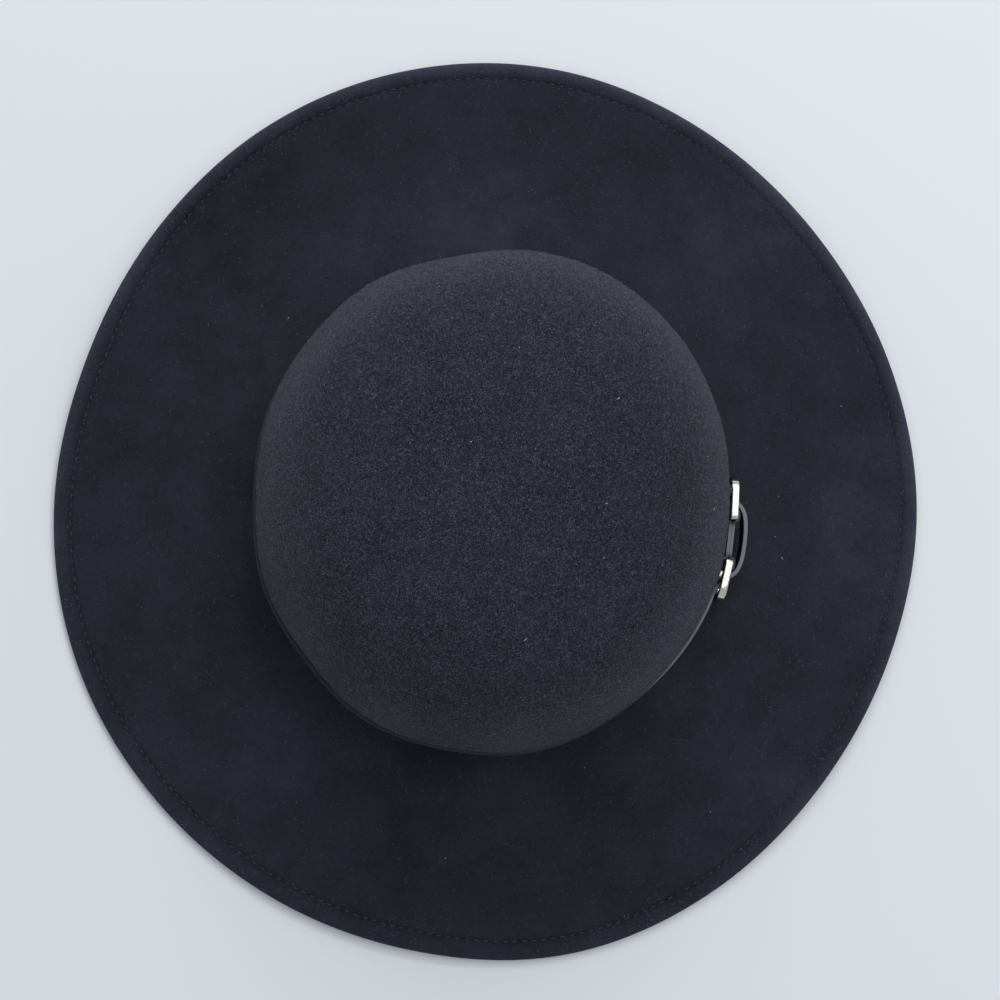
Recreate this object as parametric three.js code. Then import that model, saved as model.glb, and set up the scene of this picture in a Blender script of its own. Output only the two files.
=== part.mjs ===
// A round-crowned, wide-brimmed felt hat with a narrow leather band and two D-rings.
// Millimetres, +Z up. The hat rests on the turned edge of its brim at z = 0, centred on the
// middle of its own box. Its front is -Y, its back is +Y, and the wearer's left, where the
// rings sit, is +X. A direction is an angle from +X towards +Y, seen from above.

import * as THREE from 'three';

// Felt crown
const FELT = 2.1;             // thickness of the felt
const CROWN_WIDTH = 182.2;    // outside, side to side, at the foot of the crown
const CROWN_LENGTH = 192.8;   // outside, front to back, at the foot of the crown
const CROWN_RISE = 97;        // from the foot of the crown's wall to its top
const CROWN_LEAN = 3.6;       // how far the wall leans inwards over that rise
const CROWN_ROUNDNESS = 3.1;  // exponent of the crown's side view: 2 is an ellipse, 4 is boxy
const BREAK_RADIUS = 7;       // hollow curve where the crown's wall turns into the brim

// Brim and its turned edge
const BRIM_SIDES = 79.2;      // width of the brim at the wearer's left and right
const BRIM_ENDS = 81.2;       // width of the brim at the front and back
const BRIM_DROP = 12;         // how far the brim falls from the break to its flat outer part
const BRIM_FALL = 62;         // width over which it falls
const EDGE_LIFT = 5;          // height of the highest stretch of edge above the surface below
const LIFT_REACH = 52;        // how far in from the edge that lift starts
const HEM_WIDTH = 8.4;        // width of the edge that is turned under
const STITCH_INSET = 6.8;     // distance of the stitched groove from the edge
const GROOVE_DEPTH = 0.5;     // depth of that groove
const GROOVE_HALF = 0.9;      // half its width
const HEM_SWELL = 0.3;        // how far the fold stands above the brim outside the groove
const FOLD_REACH = 2.5;       // how far in from the edge the rounding of the fold reaches

// Leather band and link
const BAND_WIDTH = 10;        // height of the leather band on the crown
const BAND_THICKNESS = 1.6;   // thickness of the band
const BAND_EDGE = 0.35;       // chamfer along the band's edges
const BAND_PRESS = 0.8;       // how far the band pinches the felt inwards
const BAND_LOOSE = 1.2;       // how far the band hangs off the felt where it is loosest
const LOOSE_DIRECTION = -20;  // degrees, the middle of the loose stretch, by the front ring
const LOOSE_SPREAD = 36;      // degrees to either side over which the slack is taken up
const BAND_BOW = 8.2;         // how much further the band stands off midway between the rings
const LINK_PLY = 1.0;         // thickness of one layer of the doubled link strap

// D-rings
const RING_LENGTH = 17.2;     // from the outside of the bar to the outside of the bow
const RING_THICKNESS = 2.9;   // away from the crown
const RING_STOCK = 2.9;       // width of the metal, seen from the side
const RING_BEVEL = 0.45;      // bevel along all its edges
const RING_BOW = 5.5;         // depth of the round bow at the far end
const RING_CORNER = 1.5;      // outer rounding where the bar meets the arms
const RING_SPACING = 14.5;    // between the two bars, outside to outside
const RINGS_DIRECTION = -8.7; // degrees, the middle of the pair

const SEAT = 0.3;             // clearance between pieces that touch
const STRAP_PLAY = 1.3;       // clearance above and below the band inside a ring
const BOW_PLAY = 0.5;         // slack of the band between the felt and a ring's bow

// How finely the forms are divided
const DIRECTIONS = 68;        // steps round the hat
const DOME_SAMPLES = 80;      // fine points that the dome's even rings are measured along
const DOME_STEPS = 11;        // rings from the top of the crown to its wall
const BREAK_STEPS = 4;        // rings down the break
const BRIM_STEPS = 7;         // rings across the brim
const FOLD_STEPS = 6;         // rings round the fold of the hem
const BAND_STEP = 5;          // degrees between the band's sections on the crown
const BOW_STEPS = 44;         // sections of the band from one ring's bow to the other's
const RING_BOW_STEPS = 14;    // sides of a ring's round bow
const CORNER_STEPS = 3;       // sides of the small rounded corners

// Bulge of the crown in plan, as a share of half its width, at even steps of direction.
const CROWN_PLAN = [
  { direction: 0, bulge: -0.010 },
  { direction: 20, bulge: 0.004 },
  { direction: 40, bulge: 0.013 },
  { direction: 60, bulge: 0.015 },
  { direction: 80, bulge: 0.001 },
  { direction: 100, bulge: -0.023 },
  { direction: 120, bulge: -0.002 },
  { direction: 140, bulge: -0.004 },
  { direction: 160, bulge: -0.001 },
  { direction: 180, bulge: -0.012 },
  { direction: 200, bulge: 0.003 },
  { direction: 220, bulge: -0.010 },
  { direction: 240, bulge: 0.000 },
  { direction: 260, bulge: -0.015 },
  { direction: 280, bulge: -0.008 },
  { direction: 300, bulge: -0.018 },
  { direction: 320, bulge: -0.018 },
  { direction: 340, bulge: -0.013 },
];

// The brim's edge at even steps of direction: its extra reach as a share of the brim's width
// at the sides, and its lift as a share of the highest lift. Where the lift is 0 it rests.
const BRIM_EDGE = [
  { direction: 0, reach: 0.022, lift: 0.00 },
  { direction: 20, reach: 0.004, lift: 0.25 },
  { direction: 40, reach: -0.021, lift: 0.60 },
  { direction: 60, reach: -0.010, lift: 0.30 },
  { direction: 80, reach: 0.014, lift: 0.00 },
  { direction: 100, reach: 0.013, lift: 0.00 },
  { direction: 120, reach: 0.000, lift: 0.25 },
  { direction: 140, reach: -0.027, lift: 0.80 },
  { direction: 160, reach: -0.033, lift: 1.00 },
  { direction: 180, reach: 0.006, lift: 0.30 },
  { direction: 200, reach: 0.021, lift: 0.00 },
  { direction: 220, reach: 0.006, lift: 0.00 },
  { direction: 240, reach: -0.011, lift: 0.25 },
  { direction: 260, reach: -0.012, lift: 0.30 },
  { direction: 280, reach: 0.018, lift: 0.00 },
  { direction: 300, reach: 0.004, lift: 0.00 },
  { direction: 320, reach: -0.015, lift: 0.35 },
  { direction: 340, reach: -0.004, lift: 0.30 },
];

// Heights of the rings of the crown's wall below its dome, as shares of the band's width.
const WALL_RINGS = [1.6, 1, 0.5, 0];

// How the link's two layers close between the bars: how far back from a bar, and how far apart
// they still are, as shares of the loop round the bar.
const LINK_CLOSING = [
  { back: 0.6, open: 1 },
  { back: 1.2, open: 0.6 },
  { back: 1.9, open: 0 },
];

const FULL_TURN = 2 * Math.PI;
const QUARTER_TURN = Math.PI / 2;
const { degToRad, euclideanModulo, smoothstep } = THREE.MathUtils;

// Levels that follow from the sizes above
const BRIM_TOP = 2 * FELT;    // the hem's second layer lifts the brim by one thickness
const BRIM_SLOPE = Math.atan(2 * BRIM_DROP / BRIM_FALL);
const WALL_FOOT = BRIM_TOP + BRIM_DROP + BREAK_RADIUS * Math.cos(BRIM_SLOPE);
const BAND_BOTTOM = WALL_FOOT + SEAT;
const BAND_MIDDLE = BAND_BOTTOM + BAND_WIDTH / 2;
const PINCH_FADE = 2.2 * BAND_WIDTH; // height at which the band's pinch has gone
const RING_HEIGHT = BAND_WIDTH + 2 * (STRAP_PLAY + RING_STOCK);

// Value of a column of an even table at an angle, along a smooth closed curve through its rows.
function roundTable(rows, column, angle) {
  const degrees = euclideanModulo(THREE.MathUtils.radToDeg(angle), 360);
  const row = rows.findLastIndex(({ direction }) => direction <= degrees);
  const share = (degrees - rows[row].direction) * rows.length / 360;
  const [before, here, next, after] = [-1, 0, 1, 2].map(
    (step) => rows[euclideanModulo(row + step, rows.length)][column],
  );
  const bend = 2 * before - 5 * here + 4 * next - after;
  const twist = 3 * (here - next) + after - before;
  return here + share * (next - before + share * (bend + share * twist)) / 2;
}

// Distance from the middle to an oval's outline, given its half width and half length.
function ovalRadius(halfWidth, halfLength, angle) {
  return 1 / Math.hypot(Math.cos(angle) / halfWidth, Math.sin(angle) / halfLength);
}

function directionVector(angle) {
  return new THREE.Vector2(Math.cos(angle), Math.sin(angle));
}

// How far the band hangs off the felt where it is loose.
function bandSlack(angle) {
  const degrees = THREE.MathUtils.radToDeg(angle) - LOOSE_DIRECTION;
  const away = Math.abs(euclideanModulo(degrees + 180, 360) - 180);
  return BAND_LOOSE * (1 - smoothstep(away, 0, LOOSE_SPREAD));
}

// Outside radius of the crown at a height above the foot of its wall.
function crownRadius(angle, height) {
  const share = Math.min(height / CROWN_RISE, 1);
  const plan = ovalRadius(CROWN_WIDTH / 2, CROWN_LENGTH / 2, angle)
    + roundTable(CROWN_PLAN, 'bulge', angle) * CROWN_WIDTH / 2;
  const round = (1 - share ** CROWN_ROUNDNESS) ** (1 / CROWN_ROUNDNESS);
  const pinch = BAND_PRESS * (1 - smoothstep(height, BAND_WIDTH, PINCH_FADE));
  return (plan - CROWN_LEAN * share) * round - pinch;
}

function edgeRadius(angle) {
  const oval = ovalRadius(CROWN_WIDTH / 2 + BRIM_SIDES, CROWN_LENGTH / 2 + BRIM_ENDS, angle);
  return oval + roundTable(BRIM_EDGE, 'reach', angle) * BRIM_SIDES;
}

// How far a point of the brim is raised where the edge lifts off the surface below.
function edgeRise(angle, radius) {
  const lift = Math.max(0, roundTable(BRIM_EDGE, 'lift', angle)) * EDGE_LIFT;
  const share = Math.max(0, 1 - (edgeRadius(angle) - radius) / LIFT_REACH);
  return lift * share ** 2;
}

// Evenly spaced points along a finely divided curve.
function evenPoints(points, steps) {
  const path = new THREE.CurvePath();
  for (let i = 1; i < points.length; i += 1) {
    path.add(new THREE.LineCurve(points[i - 1], points[i]));
  }
  return path.getSpacedPoints(steps);
}

// The crown's outside from the top to the foot of its wall, as (radius, height) points.
function crownProfile(angle) {
  const dome = [];
  for (let i = 0; i <= DOME_SAMPLES; i += 1) {
    const around = QUARTER_TURN * (1 - i / DOME_SAMPLES);
    const height = Math.max(PINCH_FADE, CROWN_RISE * Math.sin(around) ** (2 / CROWN_ROUNDNESS));
    dome.push(new THREE.Vector2(crownRadius(angle, height), WALL_FOOT + height));
    if (height === PINCH_FADE) {
      break;
    }
  }
  const wall = WALL_RINGS.map((share) => {
    const height = share * BAND_WIDTH;
    return new THREE.Vector2(crownRadius(angle, height), WALL_FOOT + height);
  });
  return [...evenPoints(dome, DOME_STEPS), ...wall];
}

// The break and the brim's upper side from the foot of the wall to the stitched groove.
function brimProfile(angle) {
  const points = [];
  const wall = crownRadius(angle, 0);
  for (let i = 1; i <= BREAK_STEPS; i += 1) {
    const turn = (QUARTER_TURN - BRIM_SLOPE) * i / BREAK_STEPS;
    const radius = wall + BREAK_RADIUS * (1 - Math.cos(turn));
    points.push(new THREE.Vector2(radius, WALL_FOOT - BREAK_RADIUS * Math.sin(turn)));
  }
  const start = points.at(-1).x;
  const end = edgeRadius(angle) - STITCH_INSET - GROOVE_HALF;
  for (let i = 1; i <= BRIM_STEPS; i += 1) {
    const radius = start + (end - start) * i / BRIM_STEPS;
    const left = Math.max(0, 1 - (radius - start) / BRIM_FALL);
    points.push(new THREE.Vector2(radius, BRIM_TOP + BRIM_DROP * left ** 2));
  }
  return points;
}

// The groove, the fold of the hem and its flat underside, before any lift.
function hemProfile(angle) {
  const edge = edgeRadius(angle);
  const groove = edge - STITCH_INSET;
  const fold = (BRIM_TOP + HEM_SWELL) / 2;
  const points = [
    new THREE.Vector2(groove, BRIM_TOP - GROOVE_DEPTH),
    new THREE.Vector2(groove + GROOVE_HALF, BRIM_TOP + HEM_SWELL / 2),
  ];
  for (let i = 0; i <= FOLD_STEPS; i += 1) {
    const turn = Math.PI * (0.5 - i / FOLD_STEPS);
    const radius = edge - FOLD_REACH * (1 - Math.cos(turn));
    points.push(new THREE.Vector2(radius, fold * (1 + Math.sin(turn))));
  }
  points.push(new THREE.Vector2(edge - HEM_WIDTH, 0));
  return points;
}

// The wall's other side: each point moved one thickness along the curve's normal.
function feltInside(points) {
  return points.map((point, i) => {
    const before = points[Math.max(i - 1, 0)];
    const after = points[Math.min(i + 1, points.length - 1)];
    const along = after.clone().sub(before).normalize();
    const inside = new THREE.Vector2(point.x + along.y * FELT, point.y - along.x * FELT);
    return i === 0 ? new THREE.Vector2(0, point.y - FELT) : inside;
  });
}

// The felt's whole section in one direction, from the top of the crown's outside, round the
// hem, to the top of its inside. The groove's near lip has no twin below: the hem is there.
function feltSection(angle) {
  const upper = [...crownProfile(angle), ...brimProfile(angle)];
  const inside = feltInside(upper.slice(0, -1));
  const step = new THREE.Vector2(edgeRadius(angle) - HEM_WIDTH, BRIM_TOP - FELT);
  const section = [...upper, ...hemProfile(angle), step, ...inside.reverse()];
  return section.map((point) => {
    const height = point.y + edgeRise(angle, point.x);
    const flat = directionVector(angle).multiplyScalar(point.x);
    return new THREE.Vector3(flat.x, flat.y, height);
  });
}

// Closed skin over rows of points. Each row is a closed loop, or one point at an end. Rows
// join in order, and the last joins the first where the skin is itself a loop.
function skinGeometry(rows, isLoop) {
  const starts = rows.map((_, i) => rows.slice(0, i).reduce((sum, row) => sum + row.length, 0));
  const index = (i, j) => starts[i] + j % rows[i].length;
  const faces = [];
  const bands = isLoop ? rows.length : rows.length - 1;
  for (let i = 0; i < bands; i += 1) {
    const next = (i + 1) % rows.length;
    const count = Math.max(rows[i].length, rows[next].length);
    for (let j = 0; j < count; j += 1) {
      const corners = [index(i, j), index(next, j), index(next, j + 1), index(i, j + 1)];
      if (rows[next].length > 1) {
        faces.push(corners[0], corners[1], corners[2]);
      }
      if (rows[i].length > 1) {
        faces.push(corners[0], corners[2], corners[3]);
      }
    }
  }
  const geometry = new THREE.BufferGeometry().setFromPoints(rows.flat());
  geometry.setIndex(faces);
  geometry.computeVertexNormals();
  return geometry;
}

// The whole hat body: crown, break, brim and turned hem in one closed wall of felt.
function feltGeometry() {
  const sections = [];
  for (let i = 0; i < DIRECTIONS; i += 1) {
    sections.push(feltSection(FULL_TURN * i / DIRECTIONS));
  }
  const last = sections[0].length - 1;
  const rows = sections[0].map((_, k) => {
    const isPole = k === 0 || k === last;
    return isPole ? [sections[0][k]] : sections.map((section) => section[k]);
  });
  return skinGeometry(rows, false);
}

// A point beside the crown at the band's height: a distance off the felt, and the band's slack.
function besideCrown(angle, distance) {
  const nudge = 0.01;
  const here = directionVector(angle).multiplyScalar(crownRadius(angle, 0));
  const next = directionVector(angle + nudge).multiplyScalar(crownRadius(angle + nudge, 0));
  const along = next.sub(here).normalize();
  const outwards = new THREE.Vector2(along.y, -along.x);
  return here.addScaledVector(outwards, distance + bandSlack(angle));
}

// Where a ring stands in plan: the middle of its bar and the way its arms point. Its bar stands
// off the felt by the link's inner layer, and its bow by the band.
function ringPlace(side) {
  const radius = crownRadius(degToRad(RINGS_DIRECTION), 0);
  const barAngle = degToRad(RINGS_DIRECTION) + side * (RING_SPACING + RING_STOCK) / 2 / radius;
  const bowAngle = barAngle + side * (RING_LENGTH - RING_STOCK) / radius;
  const bar = besideCrown(barAngle, 2 * SEAT + LINK_PLY + RING_THICKNESS / 2);
  const bow = besideCrown(bowAngle, 2 * SEAT + BOW_PLAY + BAND_THICKNESS + RING_THICKNESS / 2);
  const arms = bow.sub(bar).normalize();
  const outward = new THREE.Vector2(arms.y, -arms.x).multiplyScalar(side);
  const angleAt = (along) => barAngle + side * along / radius;
  return { bar, arms, outward, angleAt };
}

// A point in a ring's own plan: a distance along its arms from the bar, and one outwards.
function ringPoint(place, along, out) {
  return place.bar.clone().addScaledVector(place.arms, along).addScaledVector(place.outward, out);
}

// Points round a quarter of a circle from a starting angle, both ends included.
function arcPoints(x, y, radius, start, steps) {
  const points = [];
  for (let i = 0; i <= steps; i += 1) {
    const spoke = directionVector(start + QUARTER_TURN * i / steps).multiplyScalar(radius);
    points.push(spoke.add(new THREE.Vector2(x, y)));
  }
  return points;
}

// Outline of a D: its bar along y at the left, its round bow of a given depth at the right.
function dOutline(left, right, height, bow, corner) {
  const half = height / 2;
  const round = arcPoints(0, 0, 1, -QUARTER_TURN, RING_BOW_STEPS / 2);
  round.push(...arcPoints(0, 0, 1, 0, RING_BOW_STEPS / 2).slice(1));
  return [
    ...round.map((point) => new THREE.Vector2(right - bow + bow * point.x, half * point.y)),
    ...arcPoints(left + corner, half - corner, corner, QUARTER_TURN, CORNER_STEPS),
    ...arcPoints(left + corner, corner - half, corner, Math.PI, CORNER_STEPS),
  ];
}

function ringGeometry() {
  const back = -RING_STOCK / 2;
  const tip = back + RING_LENGTH;
  const inner = RING_HEIGHT - 2 * RING_STOCK;
  const shape = new THREE.Shape(dOutline(back, tip, RING_HEIGHT, RING_BOW, RING_CORNER));
  const hole = dOutline(-back, tip - RING_STOCK, inner, RING_BOW - RING_STOCK, RING_CORNER / 2);
  shape.holes.push(new THREE.Path(hole));
  const geometry = new THREE.ExtrudeGeometry(shape, {
    depth: RING_THICKNESS - 2 * RING_BEVEL,
    bevelThickness: RING_BEVEL,
    bevelSize: RING_BEVEL,
    bevelOffset: -RING_BEVEL,
    bevelSegments: 1,
  });
  return geometry.translate(0, 0, RING_BEVEL - RING_THICKNESS / 2);
}

function ringMesh(name, side, material) {
  const place = ringPlace(side);
  const arms = new THREE.Vector3(place.arms.x, place.arms.y, 0);
  const up = new THREE.Vector3(0, 0, 1);
  const mesh = new THREE.Mesh(ringGeometry(), material);
  mesh.name = name;
  mesh.position.set(place.bar.x, place.bar.y, BAND_MIDDLE);
  mesh.setRotationFromMatrix(new THREE.Matrix4().makeBasis(arms, up, arms.clone().cross(up)));
  return mesh;
}

// The link in plan: a loop round each bar and the two layers lying together between them.
function linkMesh(material) {
  const back = ringPlace(1).bar;
  const front = ringPlace(-1).bar;
  const hole = RING_STOCK / 2 + SEAT;
  const loop = hole + LINK_PLY;
  const bend = LINK_PLY + RING_BEVEL;
  const reach = back.distanceTo(front) / 2;
  const closing = LINK_CLOSING.map((row) => new THREE.Vector2(
    reach - row.back * loop,
    LINK_PLY + (loop - LINK_PLY) * row.open,
  ));
  const mirrored = closing.map((point) => new THREE.Vector2(point.x, -point.y));
  const end = [
    ...mirrored.reverse(),
    ...arcPoints(reach + loop - bend, bend - loop, bend, -QUARTER_TURN, CORNER_STEPS),
    ...arcPoints(reach + loop - bend, loop - bend, bend, 0, CORNER_STEPS),
    ...closing,
  ];
  const otherEnd = end.map((point) => point.clone().negate());
  const shape = new THREE.Shape([...end, ...otherEnd]);
  for (const middle of [-reach, reach]) {
    const corners = [[hole, hole], [-hole, hole], [-hole, -hole], [hole, -hole]];
    shape.holes.push(new THREE.Path(corners.map(([x, y]) => new THREE.Vector2(middle + x, y))));
  }
  const geometry = new THREE.ExtrudeGeometry(shape, { depth: BAND_WIDTH, bevelEnabled: false });
  const mesh = new THREE.Mesh(geometry, material);
  mesh.name = 'link_strap';
  mesh.position.set((back.x + front.x) / 2, (back.y + front.y) / 2, BAND_BOTTOM);
  mesh.rotation.z = Math.atan2(back.y - front.y, back.x - front.x);
  return mesh;
}

// The band's middle line in plan where it passes through the rings: under each bow, up through
// the ring's opening, over the bar and its loop, and out in a bow between the two.
function bandBow() {
  const under = SEAT + BAND_THICKNESS / 2;
  const over = RING_THICKNESS / 2 + 2 * SEAT + LINK_PLY + BAND_THICKNESS / 2;
  const tip = RING_LENGTH - RING_STOCK / 2;
  const openHeight = RING_HEIGHT - 2 * RING_STOCK;
  const bowShare = Math.sqrt(1 - (BAND_WIDTH / openHeight) ** 2);
  const open = tip - RING_BOW + (RING_BOW - RING_STOCK) * bowShare;
  const through = (place) => [
    besideCrown(place.angleAt(tip + RING_STOCK), under),
    besideCrown(place.angleAt(tip), under),
    besideCrown(place.angleAt(open), under),
    ringPoint(place, (open + RING_STOCK / 2) / 2, SEAT),
    ringPoint(place, RING_STOCK / 2 + SEAT, over + SEAT),
  ];
  const back = through(ringPlace(1));
  const front = through(ringPlace(-1));
  const middle = besideCrown(degToRad(RINGS_DIRECTION), BAND_BOW);
  const knots = [...front, middle, ...back.reverse()].map(({ x, y }) => new THREE.Vector3(x, y, 0));
  const curve = new THREE.CatmullRomCurve3(knots, false, 'centripetal');
  return curve.getPoints(BOW_STEPS).map(({ x, y }) => new THREE.Vector2(x, y));
}

// The band as a closed loop: round the crown, then through the rings.
function bandGeometry() {
  const path = bandBow();
  const start = ringPlace(1).angleAt(RING_LENGTH + 2 * RING_STOCK);
  const end = ringPlace(-1).angleAt(RING_LENGTH + 2 * RING_STOCK) + FULL_TURN;
  const steps = Math.ceil((end - start) / degToRad(BAND_STEP));
  for (let i = 0; i <= steps; i += 1) {
    path.push(besideCrown(start + (end - start) * i / steps, SEAT + BAND_THICKNESS / 2));
  }
  const half = BAND_THICKNESS / 2;
  const flat = half - BAND_EDGE;
  const tall = BAND_WIDTH / 2 - BAND_EDGE;
  const outline = [
    [half, -tall], [half, tall], [flat, BAND_WIDTH / 2], [-flat, BAND_WIDTH / 2],
    [-half, tall], [-half, -tall], [-flat, -BAND_WIDTH / 2], [flat, -BAND_WIDTH / 2],
  ];
  const rows = path.map((point, i) => {
    const before = path[(i + path.length - 1) % path.length];
    const after = path[(i + 1) % path.length];
    const along = after.clone().sub(before).normalize();
    return outline.map(([out, up]) => new THREE.Vector3(
      point.x + along.y * out,
      point.y - along.x * out,
      BAND_MIDDLE + up,
    ));
  });
  return skinGeometry(rows, true);
}

const black = { felt: 0x2c2d35, leather: 0x17171a };
const felt = new THREE.MeshStandardMaterial({ color: black.felt, roughness: 0.95, metalness: 0 });
const bandLeather = new THREE.MeshStandardMaterial({ color: black.leather, roughness: 0.4, metalness: 0 });
const linkLeather = bandLeather.clone();
const nickel = new THREE.MeshStandardMaterial({ color: 0xd9d4c8, roughness: 0.12, metalness: 1 });

const feltBody = new THREE.Mesh(feltGeometry(), felt);
feltBody.name = 'felt_body';
const leatherBand = new THREE.Mesh(bandGeometry(), bandLeather);
leatherBand.name = 'leather_band';

const hat = new THREE.Group();
hat.add(
  feltBody,
  leatherBand,
  linkMesh(linkLeather),
  ringMesh('d_ring_back', 1, nickel),
  ringMesh('d_ring_front', -1, nickel.clone()),
);

const box = new THREE.Box3().setFromObject(hat);
hat.position.set(-(box.min.x + box.max.x) / 2, -(box.min.y + box.max.y) / 2, -box.min.z);

export default hat;
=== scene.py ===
# %% [markdown]
# # A wide-brimmed felt hat
#
# The real hat is blocked from one piece of black wool felt. Its edge is turned under and stitched
# once round. A narrow leather band goes round the crown and through two flat D-rings, which a
# short doubled strap ties together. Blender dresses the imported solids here: each piece is made
# again from the same sizes, only finer, and gets the finish of the real material.

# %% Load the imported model
import math

import bpy
import numpy as np
from mathutils import Matrix, Vector


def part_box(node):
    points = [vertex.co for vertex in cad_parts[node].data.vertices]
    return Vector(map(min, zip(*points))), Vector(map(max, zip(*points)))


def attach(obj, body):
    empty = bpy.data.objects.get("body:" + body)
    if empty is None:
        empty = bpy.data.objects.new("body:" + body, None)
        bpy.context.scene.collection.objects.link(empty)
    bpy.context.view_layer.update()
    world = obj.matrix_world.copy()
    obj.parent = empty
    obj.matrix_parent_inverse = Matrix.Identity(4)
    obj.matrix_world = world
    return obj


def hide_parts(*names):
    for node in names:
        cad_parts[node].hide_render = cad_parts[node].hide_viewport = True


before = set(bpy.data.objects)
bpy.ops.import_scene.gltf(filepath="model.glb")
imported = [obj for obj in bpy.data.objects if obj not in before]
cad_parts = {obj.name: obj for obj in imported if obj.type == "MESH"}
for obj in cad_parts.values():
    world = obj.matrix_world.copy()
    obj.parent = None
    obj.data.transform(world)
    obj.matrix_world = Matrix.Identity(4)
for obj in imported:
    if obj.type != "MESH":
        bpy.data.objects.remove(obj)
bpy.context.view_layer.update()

MM = 0.001

# %% [markdown]
# ## Camera
#
# The hat lies on a flat surface and is seen from almost straight above. A camera that looks down
# has no natural upright, so its three axes are worked out by hand: the picture's upward direction
# is the hat's back, +Y. The lens and the place come from matching the hat's outline.

# %% Make the camera
CAMERA_PLACE = Vector((-33.3, -44.2, 803.0)) * MM
CAMERA_AIM = Vector((4.1, 2.4, 0.0)) * MM
CAMERA_LENS = 72.7            # millimetres, on a sensor 36 mm wide

camera = bpy.data.objects.new("camera", bpy.data.cameras.new("camera"))
bpy.context.scene.collection.objects.link(camera)
forward = (CAMERA_AIM - CAMERA_PLACE).normalized()
right = forward.cross(Vector((0, 1, 0))).normalized()
upward = right.cross(forward)
camera.matrix_world = Matrix.Translation(CAMERA_PLACE) @ Matrix(
    (right, upward, -forward)).transposed().to_4x4()
camera.data.lens = CAMERA_LENS
bpy.context.scene.camera = camera
print("camera height, mm:", CAMERA_PLACE.z / MM)

# %% [markdown]
# ## Sizes
#
# The sizes repeat those of the solids, in millimetres. The table gives, for even steps of
# direction round the hat, how the crown bulges, how far the brim reaches, how far its edge lifts
# off the surface, and how much the turned edge puffs up.

# %% Sizes of the felt
FELT = 2.1                    # thickness of the felt
CROWN_WIDTH, CROWN_LENGTH = 182.2, 192.8
CROWN_RISE, CROWN_LEAN, CROWN_ROUNDNESS = 97.0, 3.6, 3.1
BREAK_RADIUS = 7.0            # hollow curve between crown and brim
BRIM_SIDES, BRIM_ENDS = 79.2, 81.2
BRIM_DROP, BRIM_FALL = 12.0, 62.0
EDGE_LIFT, LIFT_REACH = 5.0, 52.0
HEM_WIDTH, STITCH_INSET, FOLD_REACH = 8.4, 6.8, 2.5
GROOVE_DEPTH, HEM_SWELL = 0.5, 0.3
BAND_WIDTH, BAND_THICKNESS, BAND_PRESS, BAND_BOW = 10.0, 1.6, 0.8, 8.2
BAND_LOOSE, LOOSE_DIRECTION, LOOSE_SPREAD = 1.2, -20.0, 36.0
LINK_PLY = 1.0                # one layer of the doubled strap
RING_LENGTH, RING_THICKNESS, RING_STOCK = 17.2, 2.9, 2.9
RING_BOW, RING_CORNER, RING_SPACING, RINGS_DIRECTION = 5.5, 1.5, 14.5, -8.7
SEAT, STRAP_PLAY, BOW_PLAY = 0.3, 1.3, 0.5

BRIM_TOP = 2 * FELT
BRIM_SLOPE = math.atan(2 * BRIM_DROP / BRIM_FALL)
WALL_FOOT = BRIM_TOP + BRIM_DROP + BREAK_RADIUS * math.cos(BRIM_SLOPE)
BAND_BOTTOM = WALL_FOOT + SEAT
BAND_MIDDLE = BAND_BOTTOM + BAND_WIDTH / 2
PINCH_FADE = 2.2 * BAND_WIDTH
RING_HEIGHT = BAND_WIDTH + 2 * (STRAP_PLAY + RING_STOCK)

# Shares at every 20 degrees of direction, from 0: bulge of half the crown's width, reach of the
# brim's width, lift of the highest lift, puff of the fullest stretch of hem.
ROUND = {
    "bulge": [-0.010, 0.004, 0.013, 0.015, 0.001, -0.023, -0.002, -0.004, -0.001,
              -0.012, 0.003, -0.010, 0.000, -0.015, -0.008, -0.018, -0.018, -0.013],
    "reach": [0.022, 0.004, -0.021, -0.010, 0.014, 0.013, 0.000, -0.027, -0.033,
              0.006, 0.021, 0.006, -0.011, -0.012, 0.018, 0.004, -0.015, -0.004],
    "lift": [0.00, 0.25, 0.60, 0.30, 0.00, 0.00, 0.25, 0.80, 1.00,
             0.30, 0.00, 0.00, 0.25, 0.30, 0.00, 0.00, 0.35, 0.30],
    "puff": [0.70, 0.85, 0.60, 0.35, 0.70, 0.85, 1.00, 0.85, 0.35,
             0.25, 0.75, 0.50, 0.15, 0.25, 0.70, 0.80, 0.35, 0.20],
}
print("crown", CROWN_WIDTH, "by", CROWN_LENGTH, "mm, foot of its wall at", round(WALL_FOOT, 2))

# %% [markdown]
# ## The shape in one direction
#
# Every point of the felt follows from its direction round the hat and its place on the section.
# Numpy works on all directions at once, so a fine mesh costs no more lines than a coarse one.

# %% Radius of the crown and the brim
def round_table(column, angle):
    """Value of a column of the table at an angle, along a smooth closed curve."""
    values = np.array(ROUND[column])
    place = np.degrees(angle) % 360 * len(values) / 360
    row = np.floor(place).astype(int)
    share = place - row
    before, here, after, beyond = (values[(row + step) % len(values)] for step in (-1, 0, 1, 2))
    bend = 2 * before - 5 * here + 4 * after - beyond
    twist = 3 * (here - after) + beyond - before
    return here + share * (after - before + share * (bend + share * twist)) / 2


def oval_radius(half_width, half_length, angle):
    return 1 / np.hypot(np.cos(angle) / half_width, np.sin(angle) / half_length)


def smooth_step(value, low, high):
    share = np.clip((value - low) / (high - low), 0, 1)
    return share * share * (3 - 2 * share)


def band_slack(angle):
    """How far the band hangs off the felt where it is loose."""
    away = np.abs((np.degrees(angle) - LOOSE_DIRECTION + 180) % 360 - 180)
    return BAND_LOOSE * (1 - smooth_step(away, 0, LOOSE_SPREAD))


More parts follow.
